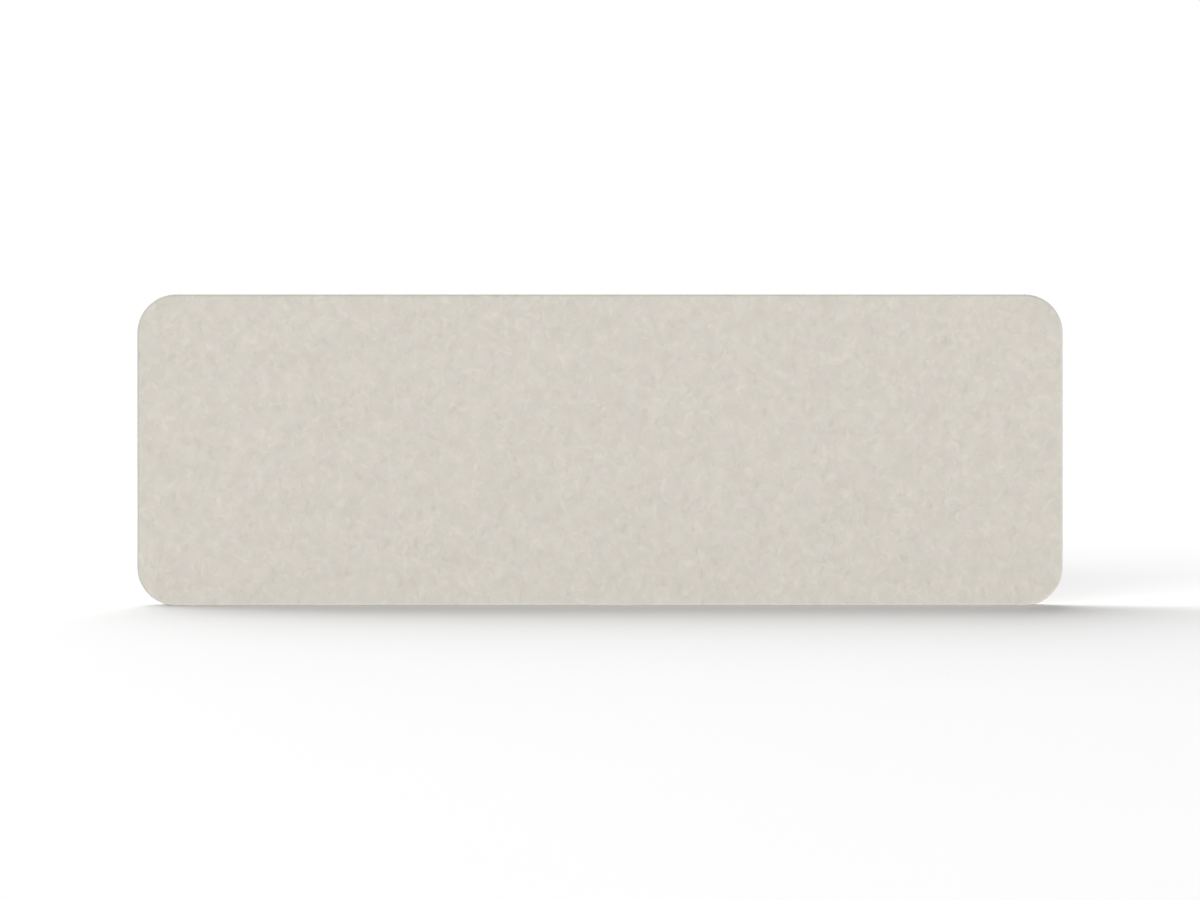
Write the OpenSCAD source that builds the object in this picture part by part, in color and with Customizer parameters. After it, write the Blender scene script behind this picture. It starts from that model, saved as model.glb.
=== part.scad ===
// Acoustic divider screen: a felt covered panel on a timber frame, closed by a zip along its underside.
// The panel stands on Z 0, its length runs along X and its front face looks along -Y.

/* [Screen] */
// Length of the timber frame
frame_length = 1200; // [900:10:1800]
// Height of the timber frame
frame_height = 400; // [300:10:700]
// Thickness of the timber frame, front to back
frame_thickness = 30; // [28:1:45]
// Radius of the finished corners
corner_radius = 50; // [42:1:80]

/* [Cover] */
// Thickness of the felt fabric
fabric_thickness = 1; // [0.8:0.1:1.4]
// Thickness of the foam strip between the frame's edge and the fabric
edge_foam_thickness = 1.5; // [1.2:0.1:3]
// Thickness of the stiff felt board on each face
facing_thickness = 4; // [3:0.5:8]
// Outside radius of the fabric where a face turns onto the edge
edge_roll_radius = 3; // [2.6:0.1:4]

/* [Frame] */
// Width of the rails and stiles, seen from the front
rail_width = 32; // [28:1:36]
// Straight length of a corner block beyond its curve
corner_straight = 22.5; // [21.5:0.5:40]
// Radius in the inside corner of a corner block
inner_corner_radius = 15; // [6:1:20]
// Width of the uprights between the bays
upright_width = 24; // [18:1:40]
// Gap round each absorber slab
absorber_gap = 0.5; // [0.2:0.1:0.9]

/* [Dowels] */
// Diameter of the dowels
dowel_diameter = 8; // [6:1:10]
// Length of a dowel in a corner joint
corner_dowel_length = 40; // [24:2:42]
// Length of a dowel at the end of an upright
upright_dowel_length = 30; // [20:2:32]
// Distance between the two dowels of a joint
dowel_pitch = 14; // [12:1:17]
// Glue gap beyond each end of a dowel
dowel_end_gap = 0.5; // [0.2:0.1:0.9]

/* [Bracket inserts] */
// Thread diameter of a bracket insert
insert_thread_diameter = 6; // [5:1:6]
// Outside diameter of an insert's barrel
insert_barrel_diameter = 10; // [8:0.5:12]
// Length of an insert's barrel
insert_barrel_length = 13; // [10:1:16]
// Diameter of an insert's flange
insert_flange_diameter = 13; // [12.5:0.5:16]
// Thickness of an insert's flange
insert_flange_thickness = 1; // [0.6:0.1:1.2]
// Distance between the two inserts of a bracket
insert_pitch = 32; // [24:1:40]
// Distance from the end of the bottom rail to the middle of a bracket
bracket_setback = 54; // [46:1:70]

/* [Zip channel] */
// Width of the channel under the bottom rail
channel_width = 16; // [15:0.5:18]
// Depth of the channel in the bottom rail
channel_depth = 9; // [8.6:0.1:10]
// Distance from the inner bracket insert to the end of the channel
channel_setback = 30; // [20:1:60]
// Distance from the end of the channel to the slider at the end of its travel
slider_margin = 30; // [27:1:60]

/* [Zip] */
// Height of the tapes above the surface that the screen stands on
tape_height = 5.5; // [5.2:0.1:6]
// Thickness of a tape
tape_thickness = 0.6; // [0.4:0.1:0.8]
// Gap between the two tapes, under the coils
tape_gap = 2; // [2:0.1:3]
// Height that a tape turns up along the channel's side
tape_turn_up = 4; // [3:0.5:4.5]
// Width of one coil
coil_width = 2.9; // [2.4:0.1:3.4]
// Height of a coil
coil_height = 2.2; // [1.6:0.1:2.5]

/* [Slider] */
// Length of the slider
slider_length = 12; // [10:0.5:14]
// Diameter that rounds the slider's four corners off
slider_plan_diameter = 14; // [13:0.5:16]
// Thickness of the slider's two plates
slider_plate = 1; // [0.8:0.1:1.1]
// Thickness of the walls beside the coils
slider_wall = 1.6; // [1:0.1:2]
// Clearance round the coils and tapes in the slider
slider_clearance = 0.3; // [0.2:0.05:0.4]
// Length of the post that joins the two plates
post_length = 2; // [1.4:0.1:3]
// Distance from the slider's end to the post
post_inset = 0.8; // [0.4:0.1:1.2]
// Length of the bridge that holds the pull
bridge_length = 7.2; // [6:0.2:8]
// Width of the bridge
bridge_width = 2; // [1.4:0.1:2.4]
// Thickness of the bridge
bridge_thickness = 1; // [0.7:0.1:1.1]

/* [Pull] */
// Diameter of the pull's bar, which is also the thickness of the pull
pull_bar_diameter = 1.1; // [0.8:0.1:1.2]
// Clearance between the bar and the bridge
pull_clearance = 0.1; // [0.05:0.01:0.15]
// Length of the pull from its bar to its tip
pull_length = 24; // [18:1:25]
// Width of the pull
pull_width = 7; // [6.4:0.1:8]
// Length of the pull's two arms
pull_arm_length = 7; // [6.8:0.1:8]
// Width of one arm
pull_arm_width = 1.2; // [0.8:0.1:1.4]
// Gap between an arm and the side of the bridge
pull_arm_gap = 0.4; // [0.2:0.1:0.5]
// Length of the slot near the tip
pull_slot_length = 8; // [6:0.5:9]
// Width of the slot near the tip
pull_slot_width = 3; // [2:0.1:3.4]
// Distance from the tip to the slot
pull_slot_inset = 2.5; // [1.8:0.1:4]

/* [Hidden] */
$fn = 64;

// Colour of the cover's felt
felt_colour = [0.84, 0.82, 0.78];
// How far a cutting shape runs past the face it cuts
cut_overrun = 1;
// Gap between a coil's end and the slider's post
coil_end_gap = 0.3;
// Gap between the slider's end and a stop
stop_gap = 1.5;
// Length of a stop along the zip
stop_length = 2.5;
// How far a stop reaches round a tape
stop_wrap = 0.4;
// Thickness of a stop under the tape
stop_base = 0.6;
// Room beyond an insert's barrel in its hole
insert_end_gap = 1;
// Gap between an insert's flange and the fabric and foam round it
insert_rim_gap = 0.5;
// Clearance between the zip tapes and the fabric at the channel's ends
tape_end_gap = 0.3;

// The panel's outside
edge_build = fabric_thickness + edge_foam_thickness;
outer_length = frame_length + 2 * edge_build;
outer_height = frame_height + 2 * edge_build;
half_thickness = frame_thickness / 2 + facing_thickness + fabric_thickness;
band_half_width = half_thickness - edge_roll_radius;

// The frame
frame_radius = corner_radius - edge_build;
corner_reach = frame_radius + corner_straight;
rail_length = frame_length - 2 * corner_reach;
stile_height = frame_height - 2 * corner_reach;
inside_length = frame_length - 2 * rail_width;
inside_height = frame_height - 2 * rail_width;
bay_length = (inside_length - 2 * upright_width) / 3;
upright_x = (bay_length + upright_width) / 2;
bay_x = bay_length + upright_width;
frame_bottom = edge_build;
frame_middle = frame_bottom + frame_height / 2;

// The brackets and the zip channel
bracket_x = rail_length / 2 - bracket_setback;
insert_rim_radius = insert_flange_diameter / 2 + insert_rim_gap;
channel_reach = bracket_x - insert_pitch / 2 - channel_setback;
channel_half_width = channel_width / 2;

// The zip, upwards from the tapes' underside
tape_top = tape_height + tape_thickness;
tape_reach = channel_reach - fabric_thickness - tape_end_gap;
tape_inner_edge = tape_gap / 2;
coil_top = tape_top + coil_height;
slider_reach = channel_reach - slider_margin;
stop_start = slider_reach + slider_length / 2 + stop_gap;
post_start = slider_length / 2 - post_inset - post_length;
post_half_width = tape_inner_edge - slider_clearance;
coil_end = slider_reach + post_start - coil_end_gap;

// The slider, whose lower plate and bridge face the surface below
slider_half_width = coil_width + slider_clearance + slider_wall;
slider_underside = tape_height - slider_clearance - slider_plate;
slider_top = coil_top + slider_clearance + slider_plate;
bridge_hole_height = pull_bar_diameter + 2 * pull_clearance;
bridge_hole_length = bridge_length - 2 * bridge_thickness;
pull_pivot_z = slider_underside - bridge_hole_height / 2;
pull_pivot_x = slider_reach - bridge_hole_length / 2 + pull_bar_diameter / 2 + pull_clearance;
pull_arm_start = bridge_width / 2 + pull_arm_gap;
pull_arm_end = pull_arm_start + pull_arm_width;

// Shared shapes

// A flat outline turned upright, with its X and Y as the screen's X and Z, between two depths
module upright_plate(front, back) {
    translate([0, back, 0]) rotate([90, 0, 0]) linear_extrude(back - front) children();
}

// A profile in the screen's Y and Z, run along X between two places
module along_x(start, end) {
    translate([start, 0, 0]) rotate([90, 0, 90]) linear_extrude(end - start) children();
}

module mirrored(direction) {
    children();
    mirror(direction) children();
}

// A rectangle that stands on its base line, with one radius at its left corners and one at its right
module rounded_rectangle(length, height, left_radius, right_radius) {
    translate([left_radius - length / 2, 0]) square([length - left_radius - right_radius, height]);
    for (end = [[-1, left_radius], [1, right_radius]]) if (end[1] > 0) translate([end[0] * length / 2, 0]) {
        radius = end[1];
        for (z = [radius, height - radius]) translate([-end[0] * radius, z]) circle(r = radius);
        translate([-end[0] * radius / 2, height / 2]) square([radius, height - 2 * radius], center = true);
    }
}

// A profile carried round the rounded outline of the panel. The profile's X is the distance in from
// the outside, and its Y is the screen's Y.
module round_the_edge(length, height, radius) {
    translate([0, 0, height / 2]) mirrored([1, 0, 0]) mirrored([0, 0, 1]) {
        translate([0, 0, height / 2]) rotate([0, 90, 0]) linear_extrude(length / 2 - radius) children();
        translate([length / 2, 0, height / 2 - radius]) rotate([0, 180, 0])
            linear_extrude(height / 2 - radius) children();
        translate([length / 2 - radius, 0, radius - height / 2]) rotate([-90, 0, 0])
            rotate_extrude(angle = 90) translate([radius, 0]) mirror([1, 0]) children();
    }
}

// The frame

module dowel_pair(length, direction) {
    for (side = [-1, 1]) translate(side * dowel_pitch / 2 * direction)
        cylinder(d = dowel_diameter, h = length, center = true);
}

// Both dowels of the joint between a corner block and a rail, and of the one with a stile, for the
// corner at the left and bottom
module corner_joint_dowels(length) {
    translate([corner_reach, 0, rail_width / 2]) rotate([0, 90, 0]) dowel_pair(length, [1, 0, 0]);
    translate([rail_width / 2, 0, corner_reach]) dowel_pair(length, [1, 0, 0]);
}

module at_corner(side, top) {
    translate([0, 0, frame_middle]) mirror([side > 0 ? 1 : 0, 0, 0]) mirror([0, 0, top ? 1 : 0])
        translate([-frame_length / 2, 0, -frame_height / 2]) children();
}

module at_each_corner() {
    for (side = [-1, 1], top = [false, true]) at_corner(side, top) children();
}

module at_each_upright_end() {
    for (side = [-1, 1], end = [-1, 1])
        translate([side * upright_x, 0, frame_middle + end * inside_height / 2]) children();
}

module corner_dowel_holes() {
    at_each_corner() corner_joint_dowels(corner_dowel_length + 2 * dowel_end_gap);
}

module upright_dowel_holes() {
    at_each_upright_end() dowel_pair(upright_dowel_length + 2 * dowel_end_gap, [0, 1, 0]);
}

module timber(length, height) {
    translate([-length / 2, -frame_thickness / 2, 0]) cube([length, frame_thickness, height]);
}

module rail() {
    difference() {
        timber(rail_length, rail_width);
        translate([0, 0, -frame_bottom]) {
            corner_dowel_holes();
            upright_dowel_holes();
        }
    }
}

module at_each_insert() {
    for (side = [-1, 1], place = [-1, 1])
        translate([side * bracket_x + place * insert_pitch / 2, 0, 0]) children();
}

module bottom_rail() {
    color("burlywood") difference() {
        translate([0, 0, frame_bottom]) rail();
        translate([-channel_reach, -channel_half_width, frame_bottom - cut_overrun])
            cube([2 * channel_reach, channel_width, channel_depth + cut_overrun]);
        at_each_insert() translate([0, 0, frame_bottom - cut_overrun])
            cylinder(d = insert_barrel_diameter, h = insert_barrel_length + insert_end_gap + cut_overrun);
    }
}

module top_rail() {
    color("burlywood") translate([0, 0, frame_middle + frame_height / 2]) mirror([0, 0, 1]) rail();
}

module stile(side) {
    color("burlywood") difference() {
        translate([side * (frame_length - rail_width) / 2, 0, frame_middle - stile_height / 2])
            timber(rail_width, stile_height);
        corner_dowel_holes();
    }
}

module corner_block(side, top) {
    color("tan") difference() {
        at_corner(side, top) upright_plate(-frame_thickness / 2, frame_thickness / 2) difference() {
            quarter_rounded(corner_reach, frame_radius);
            translate([rail_width, rail_width])
                quarter_rounded(corner_reach - rail_width + cut_overrun, inner_corner_radius);
        }
        corner_dowel_holes();
    }
}

// A square from the origin with a radius at the origin's corner
module quarter_rounded(size, radius) {
    intersection() {
        translate([radius, radius]) circle(r = radius);
        square(radius);
    }
    translate([radius, 0]) square([size - radius, size]);
    translate([0, radius]) square([size, size - radius]);
}

module upright(side) {
    color("burlywood") difference() {
        translate([side * upright_x, 0, frame_middle - inside_height / 2])
            timber(upright_width, inside_height);
        upright_dowel_holes();
    }
}

module corner_dowels() {
    color("wheat") at_each_corner() corner_joint_dowels(corner_dowel_length);
}

module upright_dowels() {
    color("wheat") at_each_upright_end() dowel_pair(upright_dowel_length, [0, 1, 0]);
}

// The filling and the padding

module absorber(bay) {
    left_radius = bay < 0 ? inner_corner_radius : 0;
    right_radius = bay > 0 ? inner_corner_radius : 0;
    slab_half_thickness = frame_thickness / 2 - absorber_gap;
    color("gainsboro")
        translate([bay * bay_x, 0, frame_middle - inside_height / 2 + absorber_gap])
            upright_plate(-slab_half_thickness, slab_half_thickness)
                rounded_rectangle(bay_length - 2 * absorber_gap, inside_height - 2 * absorber_gap,
                    left_radius, right_radius);
}

module facing(side) {
    color("lightgrey") mirror([0, side > 0 ? 1 : 0, 0]) translate([0, 0, edge_roll_radius])
        upright_plate(-half_thickness + fabric_thickness, -frame_thickness / 2)
            rounded_rectangle(outer_length - 2 * edge_roll_radius, outer_height - 2 * edge_roll_radius,
                corner_radius - edge_roll_radius, corner_radius - edge_roll_radius);
}

module insert_clearances() {
    at_each_insert() translate([0, 0, -cut_overrun])
        cylinder(r = insert_rim_radius, h = frame_bottom + 2 * cut_overrun);
}

module edge_foam() {
    color("whitesmoke") difference() {
        round_the_edge(outer_length, outer_height, corner_radius)
            translate([fabric_thickness, -band_half_width])
                square([edge_foam_thickness, 2 * band_half_width]);
        translate([-channel_reach, -channel_half_width, fabric_thickness - cut_overrun])
            cube([2 * channel_reach, channel_width, edge_foam_thickness + 2 * cut_overrun]);
        insert_clearances();
    }
}

// The felt cover

// The fabric of one face, with its rolled edge that ends at the seam
module cover_face(side) {
    color(felt_colour) mirror([0, side > 0 ? 1 : 0, 0]) {
        translate([0, 0, edge_roll_radius])
            upright_plate(-half_thickness, -half_thickness + fabric_thickness)
                rounded_rectangle(outer_length - 2 * edge_roll_radius, outer_height - 2 * edge_roll_radius,
                    corner_radius - edge_roll_radius, corner_radius - edge_roll_radius);
        round_the_edge(outer_length, outer_height, corner_radius)
            translate([edge_roll_radius, -band_half_width]) intersection() {
                difference() {
                    circle(r = edge_roll_radius);
                    circle(r = edge_roll_radius - fabric_thickness);
                }
                translate([-edge_roll_radius, -edge_roll_radius]) square(edge_roll_radius);
            }
    }
}

// The strip round the edge. Under the screen it stops at the zip channel and turns up into its ends.
module edge_band() {
    color(felt_colour) {
        difference() {
            round_the_edge(outer_length, outer_height, corner_radius)
                translate([0, -band_half_width]) square([fabric_thickness, 2 * band_half_width]);
            translate([-channel_reach, -band_half_width - cut_overrun, -cut_overrun])
                cube([2 * channel_reach, 2 * (band_half_width + cut_overrun), frame_bottom + cut_overrun]);
            insert_clearances();
        }
        turned_half_width = channel_half_width - fabric_thickness;
        mirrored([1, 0, 0]) translate([channel_reach - fabric_thickness, -turned_half_width, 0])
            cube([fabric_thickness, 2 * turned_half_width, tape_height]);
    }
}

// The fabric between the seam and the zip, under the screen and up one side of the channel
module zip_strip(side) {
    color(felt_colour) mirror([0, side > 0 ? 1 : 0, 0]) along_x(-channel_reach, channel_reach) {
        translate([-band_half_width, 0])
            square([band_half_width - channel_half_width + fabric_thickness, fabric_thickness]);
        translate([-channel_half_width, 0]) square([fabric_thickness, tape_height]);
    }
}

// The zip

module zip_tape(side) {
    color("silver") mirror([0, side > 0 ? 1 : 0, 0]) along_x(-tape_reach, tape_reach) {
        translate([-channel_half_width, tape_height])
            square([channel_half_width - tape_inner_edge, tape_thickness]);
        translate([-channel_half_width, tape_height])
            square([tape_thickness, tape_thickness + tape_turn_up]);
    }
}

// One of the two coils, as its outer shape: flat on the tape and round on top
module zip_coil(side) {
    color("gainsboro") mirror([0, side > 0 ? 1 : 0, 0]) along_x(-stop_start, coil_end)
        translate([-coil_width, tape_top]) intersection() {
            square([coil_width, coil_height]);
            translate([coil_width, 0]) circle(r = coil_width);
        }
}

module zip_stop_profile(inner, outer) {
    translate([inner, tape_top]) square([outer - inner, coil_height]);
    translate([inner, tape_height - stop_base]) square([outer - inner, stop_base]);
}

module zip_top_stops() {
    color("silver") mirrored([0, 1, 0]) along_x(stop_start, stop_start + stop_length) {
        zip_stop_profile(tape_inner_edge, coil_width + slider_clearance);
        translate([tape_inner_edge - stop_wrap, tape_height - stop_base])
            square([stop_wrap, stop_base + tape_thickness + coil_height]);
    }
}

module zip_bottom_stop() {
    color("silver") along_x(-stop_start - stop_length, -stop_start) {
        zip_stop_profile(-coil_width - slider_clearance, coil_width + slider_clearance);
        translate([-post_half_width, tape_height - stop_base])
            square([2 * post_half_width, stop_base + tape_thickness + coil_height]);
    }
}

module slider_plan() {
    intersection() {
        square([slider_length, 2 * slider_half_width], center = true);
        circle(d = slider_plan_diameter);
    }
}

module zip_slider() {
    color("darkgrey") translate([slider_reach, 0, 0]) {
        translate([0, 0, slider_underside]) linear_extrude(slider_plate) slider_plan();
        translate([0, 0, slider_top - slider_plate]) linear_extrude(slider_plate) slider_plan();
        translate([0, 0, tape_top + slider_clearance]) linear_extrude(coil_height) difference() {
            slider_plan();
            square([slider_length + cut_overrun, 2 * (coil_width + slider_clearance)], center = true);
        }
        translate([post_start, -post_half_width, slider_underside])
            cube([post_length, 2 * post_half_width, slider_top - slider_underside]);
        bridge_drop = bridge_hole_height + bridge_thickness;
        upright_plate(-bridge_width / 2, bridge_width / 2) difference() {
            translate([-bridge_length / 2, slider_underside - bridge_drop])
                square([bridge_length, bridge_drop]);
            translate([-bridge_hole_length / 2, slider_underside - bridge_hole_height])
                square([bridge_hole_length, bridge_hole_height + cut_overrun]);
        }
    }
}

module pull_plan() {
    tip_radius = pull_width / 2;
    slot_start = -pull_length + pull_slot_inset + pull_slot_width / 2;
    slot_run = pull_slot_length - pull_slot_width;
    difference() {
        union() {
            translate([tip_radius - pull_length, 0]) circle(r = tip_radius);
            translate([tip_radius - pull_length, -tip_radius])
                square([pull_length - tip_radius - pull_arm_length, pull_width]);
            for (side = [-1, 1]) translate([-pull_arm_length, side * (pull_arm_start + pull_arm_width / 2)])
                translate([0, -pull_arm_width / 2]) square([pull_arm_length, pull_arm_width]);
        }
        for (place = [0, slot_run]) translate([slot_start + place, 0]) circle(d = pull_slot_width);
        translate([slot_start, -pull_slot_width / 2]) square([slot_run, pull_slot_width]);
    }
}

module zip_pull() {
    color("darkgrey") translate([pull_pivot_x, 0, pull_pivot_z]) {
        rotate([90, 0, 0]) cylinder(d = pull_bar_diameter, h = 2 * pull_arm_end, center = true);
        translate([0, 0, -pull_bar_diameter / 2]) linear_extrude(pull_bar_diameter) pull_plan();
    }
}

// The bracket inserts

module bracket_inserts() {
    color("silver") at_each_insert() difference() {
        union() {
            translate([0, 0, frame_bottom]) cylinder(d = insert_barrel_diameter, h = insert_barrel_length);
            translate([0, 0, frame_bottom - insert_flange_thickness])
                cylinder(d = insert_flange_diameter, h = insert_flange_thickness);
        }
        cylinder(d = insert_thread_diameter, h = frame_bottom + insert_barrel_length + cut_overrun);
    }
}

bottom_rail();
top_rail();
stile(-1);  // left_stile
stile(1);  // right_stile
corner_block(-1, false);  // corner_block_bottom_left
corner_block(1, false);  // corner_block_bottom_right
corner_block(-1, true);  // corner_block_top_left
corner_block(1, true);  // corner_block_top_right
upright(-1);  // left_upright
upright(1);  // right_upright
corner_dowels();
upright_dowels();
absorber(-1);  // left_absorber
absorber(0);  // centre_absorber
absorber(1);  // right_absorber
facing(-1);  // front_facing
facing(1);  // rear_facing
edge_foam();
cover_face(-1);  // front_cover
cover_face(1);  // rear_cover
edge_band();
zip_strip(-1);  // front_zip_strip
zip_strip(1);  // rear_zip_strip
zip_tape(-1);  // front_zip_tape
zip_tape(1);  // rear_zip_tape
zip_coil(-1);  // front_zip_coil
zip_coil(1);  // rear_zip_coil
zip_top_stops();
zip_bottom_stop();
bracket_inserts();
zip_slider();
zip_pull();
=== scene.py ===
"""Dresses the felt-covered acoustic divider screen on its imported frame, for Blender 4.5.

Everything is in metres, in the frame's own place: X runs along the screen, Y through its thickness with
the front at -Y, and Z is up from the surface that it stands on.
"""
import math

import bmesh
import bpy
import numpy as np
from bpy.props import FloatProperty, FloatVectorProperty, IntProperty, PointerProperty
from bpy.types import Operator, Panel, PropertyGroup
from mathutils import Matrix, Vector, noise


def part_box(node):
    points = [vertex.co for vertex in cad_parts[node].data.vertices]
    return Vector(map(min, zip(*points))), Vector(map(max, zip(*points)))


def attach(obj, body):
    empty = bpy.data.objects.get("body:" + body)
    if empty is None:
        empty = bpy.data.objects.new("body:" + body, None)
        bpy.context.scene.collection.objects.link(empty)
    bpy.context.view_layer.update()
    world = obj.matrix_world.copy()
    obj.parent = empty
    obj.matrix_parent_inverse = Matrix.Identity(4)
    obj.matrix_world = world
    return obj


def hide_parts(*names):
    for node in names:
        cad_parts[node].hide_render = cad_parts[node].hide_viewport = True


bl_info = {
    "name": "Acoustic divider screen",
    "version": (1, 0, 0),
    "blender": (4, 5, 0),
    "location": "3D View > Sidebar > Divider screen",
    "description": "Felt cover, zip, inserts, padding and timber of a low acoustic divider screen",
    "category": "Object",
}

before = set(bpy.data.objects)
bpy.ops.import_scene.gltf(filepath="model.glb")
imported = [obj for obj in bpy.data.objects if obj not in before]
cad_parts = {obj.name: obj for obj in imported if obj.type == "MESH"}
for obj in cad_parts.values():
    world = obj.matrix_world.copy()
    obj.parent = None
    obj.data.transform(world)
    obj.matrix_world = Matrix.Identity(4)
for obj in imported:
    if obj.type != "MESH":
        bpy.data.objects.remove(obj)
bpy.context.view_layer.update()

FRONT, REAR = -1, 1
SIDES = ((FRONT, "front"), (REAR, "rear"))
BODY = "screen"

COVER_LOW, COVER_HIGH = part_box("front_cover")
LENGTH = COVER_HIGH.x - COVER_LOW.x
HEIGHT = COVER_HIGH.z - COVER_LOW.z
HALF_THICKNESS = -COVER_LOW.y
SEAM_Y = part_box("edge_band")[1].y
ROLL_RADIUS = HALF_THICKNESS - SEAM_Y
STRIP_LOW, STRIP_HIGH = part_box("rear_zip_strip")
TAPE_LOW, TAPE_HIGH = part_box("rear_zip_tape")
COIL_LOW, COIL_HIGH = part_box("rear_zip_coil")
INSERT_LOW, INSERT_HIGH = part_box("bracket_inserts")
FOAM_LOW, FOAM_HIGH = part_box("edge_foam")
FACING_LOW, FACING_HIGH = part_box("front_facing")
FRAME_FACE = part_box("top_rail")[1].y

# The cloth's points stand closer together towards a seam, at these distances from the middle plane.
NEAR_SEAM = [SEAM_Y - gap for gap in (0, 0.00015, 0.0004, 0.0007, 0.0012, 0.0025, 0.0045)]
# The angles of a fold's points.
QUARTER = [math.radians(90 * step / 4) for step in range(5)]
# Radius of the clearances round the inserts, and the height that their cutters start at.
CLEARANCE = 0.007
CUT_FROM = -0.004
# Distance from the edge that stands for the whole inner rectangle, where nothing of a seam is left.
INSIDE = 1.0


# Meshes


def new_object(name, data):
    piece = bpy.data.objects.new(name, data)
    bpy.context.scene.collection.objects.link(piece)
    return piece


def new_piece(name, surface, material):
    """A smooth-shaded mesh object from the points and faces of a surface."""
    points, faces = surface
    mesh = bpy.data.meshes.new(name)
    mesh.from_pydata([tuple(point) for point in points], [], faces)
    mesh.validate()
    mesh.shade_smooth()
    mesh.materials.append(material)
    return new_object(name, mesh)


def shape_object(name, shape, *materials):
    """Turns a bmesh into an object, and frees it."""
    mesh = bpy.data.meshes.new(name)
    shape.to_mesh(mesh)
    shape.free()
    for material in materials:
        mesh.materials.append(material)
    return new_object(name, mesh)


def edit_mesh(mesh, change):
    """Lets a function work on the mesh as a bmesh."""
    shape = bmesh.new()
    shape.from_mesh(mesh)
    change(shape)
    shape.to_mesh(mesh)
    shape.free()


def join_doubles(shape):
    bmesh.ops.remove_doubles(shape, verts=shape.verts, dist=1e-6)


def face_outwards(shape):
    bmesh.ops.recalc_face_normals(shape, faces=shape.faces)


def merged_shape(node):
    """The CAD node's mesh as a joined-up bmesh, with flat areas as single faces."""
    shape = bmesh.new()
    shape.from_mesh(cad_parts[node].data)
    join_doubles(shape)
    bmesh.ops.dissolve_limit(shape, angle_limit=math.radians(1), verts=shape.verts, edges=shape.edges)
    return shape


def solid_boxes(node):
    """Low and high corner of each separate solid of the CAD node, in order along X."""
    shape = merged_shape(node)
    left = set(shape.verts)
    boxes = []
    while left:
        found = [left.pop()]
        for vertex in found:
            others = {edge.other_vert(vertex) for edge in vertex.link_edges} & left
            left -= others
            found += others
        places = np.array([tuple(vertex.co) for vertex in found])
        boxes.append((places.min(0), places.max(0)))
    shape.free()
    return sorted(boxes, key=lambda box: tuple(box[0] + box[1]))


def add_modifier(piece, name, kind, **settings):
    modifier = piece.modifiers.new(name, kind)
    for setting, value in settings.items():
        setattr(modifier, setting, value)
    return modifier


def apply_modifiers(piece):
    """Turns the piece's modifiers into plain mesh."""
    bpy.context.view_layer.update()
    evaluated = piece.evaluated_get(bpy.context.evaluated_depsgraph_get())
    mesh = bpy.data.meshes.new_from_object(evaluated)
    mesh.name = piece.name
    piece.modifiers.clear()
    piece.data = mesh
    return piece


def give_wall(piece, thickness):
    """Gives the surface its thickness on the inner side."""
    add_modifier(piece, "Wall", "SOLIDIFY", thickness=thickness, offset=-1)
    return apply_modifiers(piece)


def cut_with(piece, cutters):
    """Cuts the shapes of other objects out of the piece and removes them."""
    for cutter in cutters:
        add_modifier(piece, "Cut", "BOOLEAN", operation="DIFFERENCE", solver="EXACT", object=cutter)
    apply_modifiers(piece)
    piece.data.set_sharp_from_angle(angle=math.radians(50))
    for cutter in cutters:
        bpy.data.objects.remove(cutter)


def finish_piece(piece, slot, *nodes, body=BODY):
    """Gives the piece its body and hides the CAD nodes that it replaces. The slot is not used."""
    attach(piece, body)
    if nodes:
        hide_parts(*nodes)


def ring_faces(rings, around, first=0, closed=False):
    """Quads that join rings of points, each to the next, and the last to the first when closed."""
    faces = []
    for ring in range(rings if closed else rings - 1):
        low = first + ring * around
        high = first + (ring + 1) % rings * around
        for step in range(around):
            after = (step + 1) % around
            faces.append((low + step, low + after, high + after, high + step))
    return faces


def ribbon_mesh(rows):
    """Quads between neighbouring rows of points; a missing point leaves its quads out."""
    points = []
    index = {}
    for r, row in enumerate(rows):
        for c, point in enumerate(row):
            if point is not None:
                index[r, c] = len(points)
                points.append(point)
    faces = []
    for r in range(len(rows) - 1):
        for c in range(len(rows[r]) - 1):
            corners = [(r, c), (r, c + 1), (r + 1, c + 1), (r + 1, c)]
            if all(corner in index for corner in corners):
                faces.append(tuple(index[corner] for corner in corners))
    return points, faces


# The screen's outline


def outline_counts(spacing):
    radius = bpy.context.scene.divider_cover.corner_radius
    lengths = (LENGTH - 2 * radius, HEIGHT - 2 * radius, math.pi / 2 * radius)
    return [max(1, round(length / spacing)) for length in lengths]


def outline(inward, spacing):
    """Points round the screen at one distance in from its edge, anticlockwise seen from the front.

    They start at the left end of the straight bottom edge. Each comes with the direction that points
    out of the screen. The counts don't depend on the distance, so rings join point to point.
    """
    radius = bpy.context.scene.divider_cover.corner_radius
    along, up, round_corner = outline_counts(spacing)
    half = LENGTH / 2 - radius
    low, high = radius, HEIGHT - radius
    centres = [(-half, low), (half, low), (half, high), (-half, high)]
    points = []

    def add(x, z, angle):
        out_x, out_z = math.cos(angle), math.sin(angle)
        points.append((x + (radius - inward) * out_x, z + (radius - inward) * out_z, out_x, out_z))

    for side, start in enumerate(centres):
        end = centres[(side + 1) % 4]
        angle = math.radians(90 * side - 90)
        count = up if side % 2 else along
        for step in range(count):
            share = step / count
            add(start[0] + (end[0] - start[0]) * share, start[1] + (end[1] - start[1]) * share, angle)
        for step in range(round_corner):
            add(*end, angle + math.pi / 2 * step / round_corner)
    return points


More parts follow.
